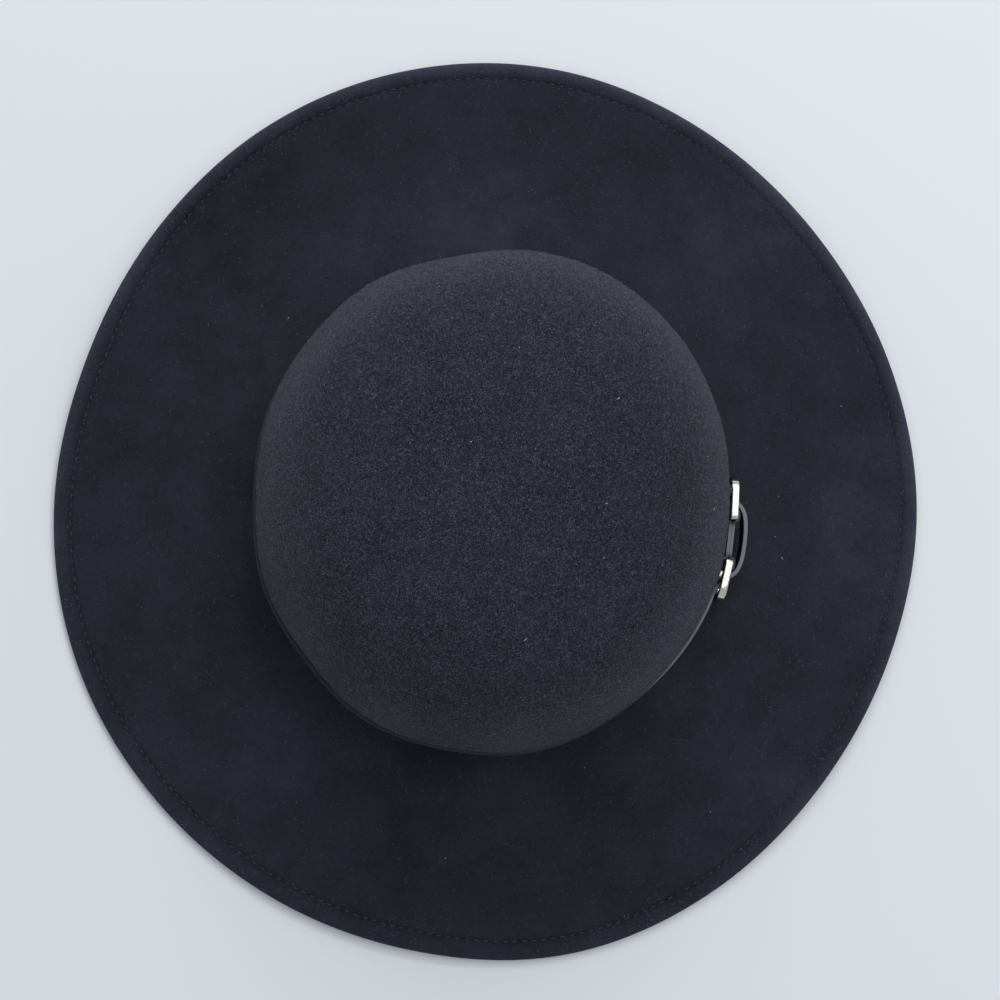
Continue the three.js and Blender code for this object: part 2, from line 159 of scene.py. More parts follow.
def crown_radius(angle, height):
    """Outside radius of the crown at a height above the foot of its wall."""
    share = np.minimum(height / CROWN_RISE, 1)
    plan = oval_radius(CROWN_WIDTH / 2, CROWN_LENGTH / 2, angle)
    plan = plan + round_table("bulge", angle) * CROWN_WIDTH / 2
    dome = (1 - share ** CROWN_ROUNDNESS) ** (1 / CROWN_ROUNDNESS)
    pinch = BAND_PRESS * (1 - smooth_step(height, BAND_WIDTH, PINCH_FADE))
    return (plan - CROWN_LEAN * share) * dome - pinch


def edge_radius(angle):
    oval = oval_radius(CROWN_WIDTH / 2 + BRIM_SIDES, CROWN_LENGTH / 2 + BRIM_ENDS, angle)
    return oval + round_table("reach", angle) * BRIM_SIDES


def edge_rise(angle, radius):
    """How far a point of the brim is raised where its edge lifts off the surface."""
    lift = np.maximum(0, round_table("lift", angle)) * EDGE_LIFT
    share = np.maximum(0, 1 - (edge_radius(angle) - radius) / LIFT_REACH)
    return lift * share ** 2


def all_round(columns):
    """Even angles for one turn round the hat."""
    return np.arange(columns) * 2 * math.pi / columns


print("brim's reach to the wearer's left, mm:", round(float(edge_radius(0.0)), 1))

# %% Shift of the solids
# The solids are centred on their own box, so the frame gives the shift between the two.
SOLID_DIRECTIONS = 68
outline = edge_radius(all_round(SOLID_DIRECTIONS))[:, None] * np.stack(
    [np.cos(all_round(SOLID_DIRECTIONS)), np.sin(all_round(SOLID_DIRECTIONS))], axis=1)
felt_low, felt_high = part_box("felt_body")
FRAME_SHIFT = np.array((*((felt_low + felt_high) / 2 / MM).xy, 0.0))
FRAME_SHIFT[:2] -= (outline.min(axis=0) + outline.max(axis=0)) / 2
print("shift of the frame, mm:", FRAME_SHIFT.round(3))

# %% [markdown]
# ## Helpers for meshes
#
# Most pieces here are skins: rows of points joined by faces. Rows may hold one point, at a pole,
# or three times as many as their neighbour, where the mesh turns from coarse to fine. A closed
# skin's faces have to look outwards, or its shading is wrong in other programs, and the sign of
# the volume that they enclose tells whether they do.

# %% Skins over rows of points
def skin_faces(counts, is_loop):
    """Faces that join rows of points, given how many points each row holds."""
    starts = np.concatenate([[0], np.cumsum(counts)])
    faces = []
    for here in range(len(counts) if is_loop else len(counts) - 1):
        there = (here + 1) % len(counts)
        near, far = counts[here], counts[there]
        first, second = int(starts[here]), int(starts[there])
        for j in range(min(near, far) if min(near, far) > 1 else max(near, far)):
            k = (j + 1) % max(near, far)
            if near == far:
                faces.append((first + j, second + j, second + k, first + k))
            elif near == 1:
                faces.append((first, second + j, second + k))
            elif far == 1:
                faces.append((first + j, second, first + k))
            elif far == 3 * near:
                fine = [second + (3 * j + step) % far for step in range(4)]
                faces.append((first + j, fine[0], fine[1]))
                faces.append((first + j, fine[1], fine[2], first + (j + 1) % near))
                faces.append((first + (j + 1) % near, fine[2], fine[3]))
            else:
                fine = [first + (3 * j + step) % near for step in range(4)]
                faces.append((second + j, fine[1], fine[0]))
                faces.append((second + j, second + (j + 1) % far, fine[2], fine[1]))
                faces.append((second + (j + 1) % far, fine[3], fine[2]))
    return faces


print("faces of a closed skin of 6 rows of 4:", len(skin_faces([4] * 6, True)))


# %% Pieces from points
def signed_volume(points, faces):
    """Volume inside closed faces, in the cube of the points' unit; negative if they look inwards."""
    fans = np.array([(face[0], face[i], face[i + 1])
                     for face in faces for i in range(1, len(face) - 1)])
    first, second, third = (points[fans[:, i]] for i in range(3))
    return float(np.einsum("ij,ij->", first, np.cross(second, third))) / 6


def mesh_piece(name, points, faces, material):
    """A smooth mesh of its own from points in the part's millimetres, which rides on the hat."""
    volume = signed_volume(points, faces)
    if volume < 0:
        faces = [tuple(face[::-1]) for face in faces]
    mesh = bpy.data.meshes.new(name)
    mesh.from_pydata(((points + FRAME_SHIFT) * MM).tolist(), [], faces)
    mesh.shade_smooth()
    mesh.materials.append(material)
    piece = bpy.data.objects.new(name, mesh)
    bpy.context.scene.collection.objects.link(piece)
    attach(piece, "root")
    print(f"{name}: {len(mesh.vertices)} points, {len(faces)} faces, {abs(volume):.1f} mm3")
    return piece


def paint(piece, attribute, values):
    """Stores one number for each point, which a material can read by name."""
    stored = piece.data.attributes.new(attribute, "FLOAT", "POINT")
    stored.data.foreach_set("value", np.asarray(values, np.float32).ravel())


# %% [markdown]
# ## Helpers for materials
#
# Colours are written as the sRGB hex values that a picture shows, and Cycles wants them linear.
# Pattern scales come from real sizes: a noise of scale 1000 has features about 1 mm wide, because
# the pieces are in metres.

# %% Colours, nodes and scales
def linear(hex_code):
    """A linear colour from an sRGB hex value."""
    parts = [int(hex_code[i:i + 2], 16) / 255 for i in (0, 2, 4)]
    return [c / 12.92 if c <= 0.04045 else ((c + 0.055) / 1.055) ** 2.4 for c in parts] + [1.0]


def add_node(tree, kind, settings, inputs):
    """Adds a node, sets its properties, and gives each named input a value or a link."""
    node = tree.nodes.new(kind)
    for name, value in settings.items():
        setattr(node, name, value)
    for name, value in inputs.items():
        if isinstance(value, bpy.types.NodeSocket):
            tree.links.new(value, node.inputs[name])
        else:
            node.inputs[name].default_value = value
    return node


def per_feature(size_mm):
    """Noise scale whose features are about this wide."""
    return 1 / (size_mm * MM)


def new_material(name):
    """An empty material: its node tree and its Principled shader."""
    material = bpy.data.materials.new(name)
    material.use_nodes = True
    return material, material.node_tree, material.node_tree.nodes["Principled BSDF"]


print("noise scale for features 1 mm wide:", round(per_feature(1.0)))
MIX_FACTOR, MIX_A, MIX_B, MIX_RESULT = 0, 6, 7, 2  # a colour Mix node's sockets, by number

# %% [markdown]
# ## Black wool felt
#
# Felt is wool worked under steam until its fibres lock. It has no weave: up close it is a mat of
# fine curled fibres, darker between them, and light that grazes it catches the nap, which the
# shader's sheen gives. The fibre ends that stand up are coloured paler, a painted highlight. The
# crown keeps more nap than the brim, which was pressed flat, so a painted value scales the speckle.
# A second painted value scales the colour with painted light and painted shade. Real fibres are
# about 0.03 mm thick: too fine to show from this far, so the speckle is drawn at half a millimetre.

# %% Patterns of the felt
FELT_DARK, FELT_LIGHT, TIP_HIGHLIGHT, FELT_SHEEN = "111218", "2f303a", "5c5e6c", "cdc9d4"
FIBRE_MM, CLUMP_MM, MOTTLE_MM = 0.55, 2.2, 16.0
BRIM_CONTRAST, CROWN_CONTRAST = 1.1, 17.0  # of the speckle, without nap and with all of it
MOTTLE_SHARE = 0.42           # of the slow clouds in the shade
HIGHLIGHT_FROM, HIGHLIGHT_FULL = 0.9, 2.0  # the speckle's height where the painted highlight on its raised ends starts and is full

felt_material, tree, shader = new_material("black_wool_felt")
place = add_node(tree, "ShaderNodeTexCoord", {}, {}).outputs["Object"]
fibres = add_node(tree, "ShaderNodeTexNoise", {}, {
    "Vector": place, "Scale": per_feature(FIBRE_MM), "Detail": 4.0, "Roughness": 0.7,
    "Distortion": 1.6}).outputs["Fac"]
clumps = add_node(tree, "ShaderNodeTexNoise", {}, {
    "Vector": place, "Scale": per_feature(CLUMP_MM), "Detail": 3.0, "Roughness": 0.6,
    "Distortion": 0.8}).outputs["Fac"]
mottle = add_node(tree, "ShaderNodeTexNoise", {}, {
    "Vector": place, "Scale": per_feature(MOTTLE_MM), "Detail": 3.0,
    "Roughness": 0.55}).outputs["Fac"]
nap = add_node(tree, "ShaderNodeAttribute", {"attribute_name": "nap"}, {}).outputs["Fac"]
painted_light_shade = add_node(tree, "ShaderNodeAttribute", {"attribute_name": "painted_light_shade"}, {}).outputs["Fac"]
print("felt speckle, mm:", FIBRE_MM, "and clumps, mm:", CLUMP_MM)

# %% Colour of the felt
contrast = add_node(tree, "ShaderNodeMapRange", {}, {
    "Value": nap, "To Min": BRIM_CONTRAST, "To Max": CROWN_CONTRAST}).outputs["Result"]
centred = add_node(tree, "ShaderNodeMath", {"operation": "SUBTRACT"}, {
    0: fibres, 1: 0.5}).outputs["Value"]
speckle = add_node(tree, "ShaderNodeMath", {"operation": "MULTIPLY_ADD"}, {
    0: centred, 1: contrast, 2: clumps}).outputs["Value"]
tone = add_node(tree, "ShaderNodeMapRange", {}, {
    "Value": speckle, "From Min": -0.1, "From Max": 1.1}).outputs["Result"]
cloudy = add_node(tree, "ShaderNodeMapRange", {}, {
    "Value": mottle, "From Min": 0.35, "From Max": 0.65,
    "To Min": 0.25, "To Max": 0.75}).outputs["Result"]
shade = add_node(tree, "ShaderNodeMix", {"data_type": "FLOAT"}, {
    0: MOTTLE_SHARE, 2: tone, 3: cloudy}).outputs[0]
felt_colour = add_node(tree, "ShaderNodeMix", {"data_type": "RGBA"}, {
    MIX_FACTOR: shade, MIX_A: linear(FELT_DARK), MIX_B: linear(FELT_LIGHT)}).outputs[MIX_RESULT]
# The speckle's highest points turn pale: a painted highlight on the fibre ends that stand up.
tip_highlight = add_node(tree, "ShaderNodeMapRange", {}, {
    "Value": speckle, "From Min": HIGHLIGHT_FROM, "From Max": HIGHLIGHT_FULL}).outputs["Result"]
highlighted_colour = add_node(tree, "ShaderNodeMix", {"data_type": "RGBA"}, {
    MIX_FACTOR: tip_highlight, MIX_A: felt_colour, MIX_B: linear(TIP_HIGHLIGHT)}).outputs[MIX_RESULT]
# The painted value scales the colour up and down: painted light and painted shade.
painted_light_scale = add_node(tree, "ShaderNodeMath", {"operation": "ADD"}, {
    0: painted_light_shade, 1: 1.0}).outputs["Value"]
lit_and_shaded_colour = add_node(tree, "ShaderNodeVectorMath", {"operation": "SCALE"}, {
    "Vector": highlighted_colour, "Scale": painted_light_scale}).outputs["Vector"]
tree.links.new(lit_and_shaded_colour, shader.inputs["Base Color"])
print("felt colours:", FELT_DARK, FELT_LIGHT, TIP_HIGHLIGHT)

# %% Surface of the felt
relief = add_node(tree, "ShaderNodeBump", {}, {
    "Height": speckle, "Strength": 0.35, "Distance": 0.12 * MM}).outputs["Normal"]
tree.links.new(relief, shader.inputs["Normal"])
shader.inputs["Roughness"].default_value = 0.95
shader.inputs["Specular IOR Level"].default_value = 0.12
shader.inputs["Sheen Weight"].default_value = 0.09
shader.inputs["Sheen Roughness"].default_value = 0.45
shader.inputs["Sheen Tint"].default_value = linear(FELT_SHEEN)
print("felt sheen:", FELT_SHEEN)

# %% [markdown]
# ## The felt body
#
# Crown, break, brim and turned edge are one wall of felt. A subdivided coarse mesh would round
# off the stitched groove, so the wall is made as one skin of its section instead: coarse columns
# over the crown and the brim, and three times as many at the hem, four to a stitch, so that the
# felt can pucker at each needle hole. Slow waves keep the surface from looking turned on a lathe.

# %% Rows of the felt
STITCHES = 285                # the photo's pitch is 3.7 mm
HEM_COLUMNS = 4 * STITCHES
FELT_COLUMNS = HEM_COLUMNS // 3
HEM_ZONE = 12.0               # width of the brim's edge that has the fine columns
DOME_ROWS, WALL_ROWS, BREAK_ROWS, BRIM_ROWS = 44, 10, 8, 26
WAVE_COUNT, WAVE_HEIGHT = 14, 0.14
LIP_HEIGHT, LIP_REACH, LIP_SPREAD = 0.10, 1.5, 1.1
GROOVE_SPREAD, PUFF_MOST = 0.45, 1.1
GROOVE_SHARE, GROOVE_GAIN = 0.5, 0.35  # of its depth where the hem is flat, and what puff adds
CREST_SHARE, CREST_GAIN = 0.6, 1.7  # the same for the swell
HOLE_DEPTH, PUCKER = 1.2, 0.5  # the groove is deeper at the needle holes than between them
HEM_ROUNDING = 3.8            # how far in the fold is rounded on top
LIP_STEPS = (4.0, 3.0, 2.2, 1.5, 1.0, 0.55, 0.25)  # how far inside the stitches
CREST_SHARES = (0.0, 0.06, 0.16, 0.3, 0.5, 0.75, 1.0)
FOLD_TURNS = (72, 55, 40, 26, 13, 0, -24, -50, -90)  # degrees round the fold
# The hem's underside from the fold inwards: distances from the edge, and heights.
UNDERSIDE = ((5.6, 0.0), (STITCH_INSET, 0.7 * GROOVE_DEPTH), (7.2, 0.0),
             (HEM_WIDTH - 0.3, 0.0), (HEM_WIDTH, 0.3), (HEM_WIDTH + 0.1, FELT - 0.3))
STRAY, STRAY_DIRECTION, STRAY_SPREAD = 1.1, 248.0, 60.0

chance = np.random.default_rng(11)
wave_length = chance.uniform(22, 70, WAVE_COUNT)
wave_way = chance.normal(size=(WAVE_COUNT, 3))
wave_way /= np.linalg.norm(wave_way, axis=1)[:, None]
wave_start = chance.uniform(0, 2 * math.pi, WAVE_COUNT)


def unevenness(points):
    """Slow waves of the felt's surface, in millimetres, at points of the hat."""
    turns = points @ (wave_way * 2 * math.pi / wave_length[:, None]).T + wave_start
    return WAVE_HEIGHT * np.sin(turns).sum(axis=-1) / math.sqrt(WAVE_COUNT)


def dome_heights():
    """Heights of rings that lie evenly along the dome, from its top to the pinch's end."""
    around = np.linspace(math.pi / 2, 0, 900)
    height = CROWN_RISE * np.sin(around) ** (2 / CROWN_ROUNDNESS)
    height = height[height >= PINCH_FADE]
    radius = crown_radius(np.zeros_like(height), height)
    along = np.concatenate([[0], np.cumsum(np.hypot(np.diff(radius), np.diff(height)))])
    return np.interp(np.linspace(0, along[-1], DOME_ROWS), along, height)


def felt_profile(angle):
    """Outside of the felt from the crown's top to the hem's zone, as radius and height rows."""
    rows = [(crown_radius(angle, h), WALL_FOOT + h + 0 * angle) for h in dome_heights()]
    for height in np.linspace(PINCH_FADE, 0, WALL_ROWS + 1)[1:]:
        rows.append((crown_radius(angle, height), WALL_FOOT + height + 0 * angle))
    wall = crown_radius(angle, 0)
    for turn in np.linspace(0, math.pi / 2 - BRIM_SLOPE, BREAK_ROWS + 1)[1:]:
        rows.append((wall + BREAK_RADIUS * (1 - math.cos(turn)),
                     WALL_FOOT - BREAK_RADIUS * math.sin(turn) + 0 * angle))
    start = rows[-1][0]
    end = edge_radius(angle) - HEM_ZONE
    for share in np.linspace(0, 1, BRIM_ROWS + 1)[1:]:
        radius = start + (end - start) * share
        left = np.maximum(0, 1 - (radius - start) / BRIM_FALL)
        rows.append((radius, BRIM_TOP + BRIM_DROP * left ** 2))
    return np.array(rows)


def place_rows(rows, angle):
    """Points in space of rows of radius and height, lifted where the brim's edge lifts."""
    radius, height = rows[:, 0], rows[:, 1]
    height = height + edge_rise(angle, radius)
    return np.stack([radius * np.cos(angle), radius * np.sin(angle), height], axis=-1)


def move_along_normals(rows, distance):
    """Rows of radius and height moved along their section's outward normal."""
    along = np.gradient(rows, axis=0)
    along /= np.linalg.norm(along, axis=1)[:, None]
    return rows + np.stack([-along[:, 1], along[:, 0]], axis=1) * distance[:, None]


print("hem columns", HEM_COLUMNS, "and felt columns", FELT_COLUMNS)

# %% The stitched hem
def stitch_inset(angle):
    """How far the line of stitches lies in from the edge; at one place it strays inwards."""
    away = np.abs((np.degrees(angle) - STRAY_DIRECTION + 180) % 360 - 180)
    return STITCH_INSET + STRAY * (1 - smooth_step(away, 0, STRAY_SPREAD))


def hem_puff(angle):
    """How full the turned edge is, as a share."""
    return np.clip(round_table("puff", angle), 0, PUFF_MOST)


def groove_depth(puff):
    """Depth of the stitched groove, which is deeper where the hem is full."""
    return GROOVE_DEPTH * (GROOVE_SHARE + GROOVE_GAIN * puff)


def hem_rows(angle, between):
    """The hem from the brim over the fold to the step inside, with puckers between the stitches."""
    edge = edge_radius(angle)
    inset = stitch_inset(angle)
    puff = hem_puff(angle)
    crest = HEM_SWELL * (CREST_SHARE + CREST_GAIN * puff)
    depth = groove_depth(puff) * (HOLE_DEPTH - PUCKER * between)
    fold = (BRIM_TOP + crest) / 2
    rows = []
    for beyond in LIP_STEPS:
        lip = LIP_HEIGHT * (0.5 + between) * math.exp(-((beyond - LIP_REACH) / LIP_SPREAD) ** 2)
        groove = depth * math.exp(-(beyond / GROOVE_SPREAD) ** 2)
        rows.append((edge - inset - beyond, BRIM_TOP + lip - groove))
    for share in CREST_SHARES:
        away = inset + (HEM_ROUNDING - inset) * share
        rows.append((edge - away, BRIM_TOP - depth + (depth + crest) * (1 - (1 - share) ** 2)))
    for turn in np.radians(FOLD_TURNS):
        reach = HEM_ROUNDING if turn > 0 else FOLD_REACH
        rows.append((edge - reach * (1 - math.cos(turn)), fold * (1 + math.sin(turn))))
    for away, height in UNDERSIDE:
        rows.append((edge - away, height + 0 * angle))
    return np.array(rows)


print("groove under the fullest hem, mm:", round(groove_depth(1.0), 2))

# %% Make the felt body
coarse = all_round(FELT_COLUMNS)
fine = all_round(HEM_COLUMNS)
between_holes = 0.5 - 0.5 * np.cos(fine * STITCHES)
outside = felt_profile(coarse)
flat_points = place_rows(outside, coarse)
hem_start = edge_radius(coarse) - HEM_ZONE
fade = 1 - smooth_step(outside[:, 0], hem_start - HEM_ZONE, hem_start)
outside = move_along_normals(outside, unevenness(flat_points) * fade)
outside[0, 0] = 0
hem = hem_rows(fine, between_holes)
inside = move_along_normals(outside, np.full(outside.shape[::2], -FELT))
inside = np.concatenate([inside[:DOME_ROWS:2], inside[DOME_ROWS::2], inside[-1:]])[::-1]
inside[-1, 0] = 0

felt_rows = [*place_rows(outside, coarse), *place_rows(hem, fine), *place_rows(inside, coarse)]
felt_rows[0] = felt_rows[0].mean(axis=0)[None]
felt_rows[-1] = felt_rows[-1].mean(axis=0)[None]
felt_body = mesh_piece("felt_hat_body", np.concatenate(felt_rows),
                       skin_faces([len(row) for row in felt_rows], False), felt_material)
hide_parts("felt_body")

# %% [markdown]
# ## Nap, painted light and painted shade
#
# The crown has more nap than the brim. The nap is painted strongest on the steep wall, which is
# seen at a slant, where a plain speckle would fade. Soft round patches are painted paler or darker
# to follow how the light falls: painted light on the brim, painted shade on the crown, mostly its
# lower wall, and on the brim where it tilts away. The turned edge is painted paler along its fold,
# most toward one side, as a painted highlight, and darker along its stitched groove, as painted
# shade. All of this is painted on the mesh as numbers for each point, by which the material scales
# its speckle and its colour. The places are charted as soft round patches.

# %% Paint the nap, the painted light and the painted shade
TOP_NAP = 0.56                # share of the wall's nap that is painted on the dome
STEEP_TO, TOP_FROM = 55.0, 84.0  # heights over the wall's foot where the one turns to the other
# Painted highlight along the hem's outer fold, strongest toward one side, and painted shade along its
# stitched groove.
HEM_HIGHLIGHT, HEM_HIGHLIGHT_REACH = 1.8, 3.2
GROOVE_PAINTED_SHADE, GROOVE_SHADE = 0.26, 1.3
HIGHLIGHT_DIRECTION, HIGHLIGHT_SHARE = 80.0, 0.38  # the direction where the hem's painted highlight is strongest, and by how much
# Direction and radius of each patch, how far it reaches, and how much paler (painted light) or darker
# (painted shade) it is.
LIGHT_SHADE_PATCHES = [
    (92, 115, 24, 0.42), (120, 118, 22, 0.28), (48, 122, 28, 0.18), (42, 164, 36, 0.34),
    (357, 156, 38, 0.44), (317, 163, 32, 0.30), (155, 128, 22, 0.10), (230, 122, 32, 0.46),
    (272, 115, 24, 0.22), (185, 118, 24, 0.14), (312, 120, 24, 0.14), (127, 156, 34, -0.26),
    (230, 89, 17, -0.40), (258, 92, 18, -0.42), (286, 94, 17, -0.26), (205, 86, 15, -0.16),
    (4, 62, 30, -0.12),
]


def patch_light_at(points):
    """How much painted light or painted shade the patches give each point, as a share."""
    total = np.zeros(len(points))
    for direction, radius, reach, strength in LIGHT_SHADE_PATCHES:
        angle = math.radians(direction)
        middle = radius * np.array([math.cos(angle), math.sin(angle)])
        away = np.linalg.norm(points[:, :2] - middle, axis=1)
        total += strength * np.exp(-(away / reach) ** 2)
    return total


def hem_light_and_shade(points):
    """Painted highlight along the turned edge's fold and painted shade along its stitched groove, at
    each point.
    """
    angle = np.arctan2(points[:, 1], points[:, 0])
    away = edge_radius(angle) - np.hypot(points[:, 0], points[:, 1])
    share = 1 - HIGHLIGHT_SHARE + HIGHLIGHT_SHARE * np.cos(angle - math.radians(HIGHLIGHT_DIRECTION))
    paler = HEM_HIGHLIGHT * share * np.exp(-np.maximum(away, 0) / HEM_HIGHLIGHT_REACH)
    return paler - GROOVE_PAINTED_SHADE * np.exp(-((away - stitch_inset(angle)) / GROOVE_SHADE) ** 2)


def nap_at(points):
    """How rough the nap is at each point: none on the brim, most on the crown's steep wall."""
    height = points[:, 2] - WALL_FOOT
    on_crown = smooth_step(height, -BREAK_RADIUS, BAND_WIDTH)
    return on_crown * (1 - (1 - TOP_NAP) * smooth_step(height, STEEP_TO, TOP_FROM))


felt_points = np.concatenate(felt_rows)
paint(felt_body, "nap", nap_at(felt_points))
paint(felt_body, "painted_light_shade", patch_light_at(felt_points) + hem_light_and_shade(felt_points))
print("painted_light_and_shade places:", len(LIGHT_SHADE_PATCHES))

# %% [markdown]
# ## Places beside the crown
#
# Band, rings and strap all take their places from the felt that they lie against, by the same
# steps as the solids do, so that the finer pieces keep the solids' clearances.

# %% Places of the rings
def beside_crown(angle, distance):
    """A point in plan beside the crown: a distance off the felt, and the band's slack."""
    nudge = 0.01
    here, there = (crown_radius(a, 0) * np.array([np.cos(a), np.sin(a)])
                   for a in (angle, angle + nudge))
    along = (there - here) / np.linalg.norm(there - here)
    return here + np.array([along[1], -along[0]]) * (distance + band_slack(angle))


def ring_place(side):
    """A ring in plan: the middle of its bar, the way of its arms, and the way outwards."""
    middle = math.radians(RINGS_DIRECTION)
    radius = crown_radius(middle, 0)
    bar_angle = middle + side * (RING_SPACING + RING_STOCK) / 2 / radius
    bow_angle = bar_angle + side * (RING_LENGTH - RING_STOCK) / radius
    bar = beside_crown(bar_angle, 2 * SEAT + LINK_PLY + RING_THICKNESS / 2)
    bow = beside_crown(bow_angle, 2 * SEAT + BOW_PLAY + BAND_THICKNESS + RING_THICKNESS / 2)
    arms = (bow - bar) / np.linalg.norm(bow - bar)
    outward = np.array([arms[1], -arms[0]]) * side
    return dict(bar=bar, arms=arms, outward=outward,
                angle_at=lambda along: bar_angle + side * along / radius)


def smooth_line(knots, steps):
    """A centripetal Catmull-Rom curve through knots in plan, evenly divided in its parameter."""
    knots = np.array(knots)
    padded = np.concatenate([[2 * knots[0] - knots[1]], knots, [2 * knots[-1] - knots[-2]]])
    points = []
    for place in np.linspace(0, len(knots) - 1, steps + 1):
        row = min(int(place), len(knots) - 2)
        a, b, c, d = padded[row:row + 4]
        gap_a, gap_b, gap_c = (math.sqrt(np.linalg.norm(q - p)) for p, q in ((a, b), (b, c), (c, d)))
        leave = ((b - a) / gap_a - (c - a) / (gap_a + gap_b) + (c - b) / gap_b) * gap_b
        arrive = ((c - b) / gap_b - (d - b) / (gap_b + gap_c) + (d - c) / gap_c) * gap_b
        t = place - row
        points.append(b + t * leave + t ** 2 * (3 * (c - b) - 2 * leave - arrive)
                      + t ** 3 * (2 * (b - c) + leave + arrive))
    return points


rings = {"back": ring_place(1), "front": ring_place(-1)}
print("bars apart, mm:", round(float(np.linalg.norm(rings["back"]["bar"] - rings["front"]["bar"])), 2))

# %% [markdown]
# ## Black leather
#
# The band and the strap are cut from black vegetable-tanned leather. Its face has a fine grain of
# small cells and a slight gloss. The cut edges are given a grey, a painted reflection of the light
# overhead, strongest on the band near the rings and on the link away from its loops. From above
# the upper cut edge is all that shows.

# %% Leather material
LEATHER_FACE, EDGE_SHINE = "0e0e13", "73757f"
GRAIN_MM, PORE_MM = 0.7, 0.18

leather_material, tree, shader = new_material("black_tanned_leather")
place = add_node(tree, "ShaderNodeTexCoord", {}, {}).outputs["Object"]
grain = add_node(tree, "ShaderNodeTexVoronoi", {"feature": "SMOOTH_F1"}, {
    "Vector": place, "Scale": per_feature(GRAIN_MM), "Smoothness": 0.4}).outputs["Distance"]
pores = add_node(tree, "ShaderNodeTexNoise", {}, {
    "Vector": place, "Scale": per_feature(PORE_MM), "Detail": 2.0}).outputs["Fac"]
edge_shine = add_node(tree, "ShaderNodeAttribute", {"attribute_name": "edge_shine"}, {}).outputs["Fac"]
uneven_shine = add_node(tree, "ShaderNodeMath", {"operation": "MULTIPLY"}, {
    0: edge_shine, 1: add_node(tree, "ShaderNodeMapRange", {}, {
        "Value": pores, "From Min": 0.3, "From Max": 0.7,
        "To Min": 0.75, "To Max": 1.0}).outputs["Result"]})
# The grey on the cut edges is a painted reflection of the light overhead.
leather_colour = add_node(tree, "ShaderNodeMix", {"data_type": "RGBA"}, {
    MIX_FACTOR: uneven_shine.outputs["Value"], MIX_A: linear(LEATHER_FACE),
    MIX_B: linear(EDGE_SHINE)}).outputs[MIX_RESULT]
tree.links.new(leather_colour, shader.inputs["Base Color"])
gloss = add_node(tree, "ShaderNodeMapRange", {}, {
    "Value": pores, "To Min": 0.3, "To Max": 0.48}).outputs["Result"]
tree.links.new(gloss, shader.inputs["Roughness"])
relief = add_node(tree, "ShaderNodeBump", {}, {
    "Height": grain, "Strength": 0.35, "Distance": 0.08 * MM}).outputs["Normal"]
tree.links.new(relief, shader.inputs["Normal"])
shader.inputs["IOR"].default_value = 1.5
shader.inputs["Specular IOR Level"].default_value = 0.3
print("leather grain, mm:", GRAIN_MM)

# %% [markdown]
# ## The band
#
# A flat strap goes round the foot of the crown, in under each ring's bow, up through the ring,
# over its bar, and out in a shallow bow between the two. It is a rounded oblong section carried
# along a closed line in plan, which keeps the strap upright all the way.

# %% Strap sections along a line
BAND_ROUNDING, LINK_ROUNDING = 0.25, 0.08
SHINE_DIRECTION = -15.0        # the band's edges carry the most painted reflection round here
SHINE_NEAR, SHINE_FAR = 24.0, 42.0  # degrees from there over which the painted reflection fades
SHINE_LEAST = 0.12             # the share of it that is left everywhere else
BAND_SEAT = 0.06              # the tight band all but touches the felt
ROUNDING_STEPS = 3
EDGE_SPREAD = 3               # how soon the edge's painted reflection is full on the rounded corner


def strap_section(thickness, width, rounding):
    """Points round an oblong with rounded corners, as distances out and up from its middle."""
    section = []
    for corner in range(4):
        out_side = 1 if corner in (0, 3) else -1
        up_side = 1 if corner in (0, 1) else -1
        for step in range(ROUNDING_STEPS + 1):
            turn = math.pi / 2 * (corner + step / ROUNDING_STEPS)
            section.append((out_side * (thickness / 2 - rounding) + rounding * math.cos(turn),
                            up_side * (width / 2 - rounding) + rounding * math.sin(turn)))
    return np.array(section)


print("points round a strap:", len(strap_section(BAND_THICKNESS, BAND_WIDTH, BAND_ROUNDING)))


# %% Straps from their lines
def strap_piece(name, path, thickness, rounding, painted_shine):
    """A closed upright strap along a closed line in plan, its cut edges given a painted grey
    reflection as strong as painted_shine says.
    """
    path = np.array(path)
    along = np.roll(path, -1, axis=0) - np.roll(path, 1, axis=0)
    along /= np.linalg.norm(along, axis=1)[:, None]
    section = strap_section(thickness, BAND_WIDTH, rounding)
    out = np.stack([along[:, 1], -along[:, 0]], axis=1)
    plan = path[:, None] + out[:, None] * section[None, :, :1]
    height = np.broadcast_to(BAND_MIDDLE + section[:, 1], plan.shape[:2])
    points = np.concatenate([plan, height[..., None]], axis=2)[:, ::-1]
    strap = mesh_piece(name, points.reshape(-1, 3), skin_faces([len(section)] * len(path), True),
                       leather_material)
    reach = EDGE_SPREAD * (np.abs(section[::-1, 1]) - BAND_WIDTH / 2 + rounding) / rounding
    paint(strap, "edge_shine", np.outer(painted_shine, np.clip(reach, 0, 1)))
    return strap


# %% The leather band
BOW_STEPS, BAND_STEP = 150, 1.5


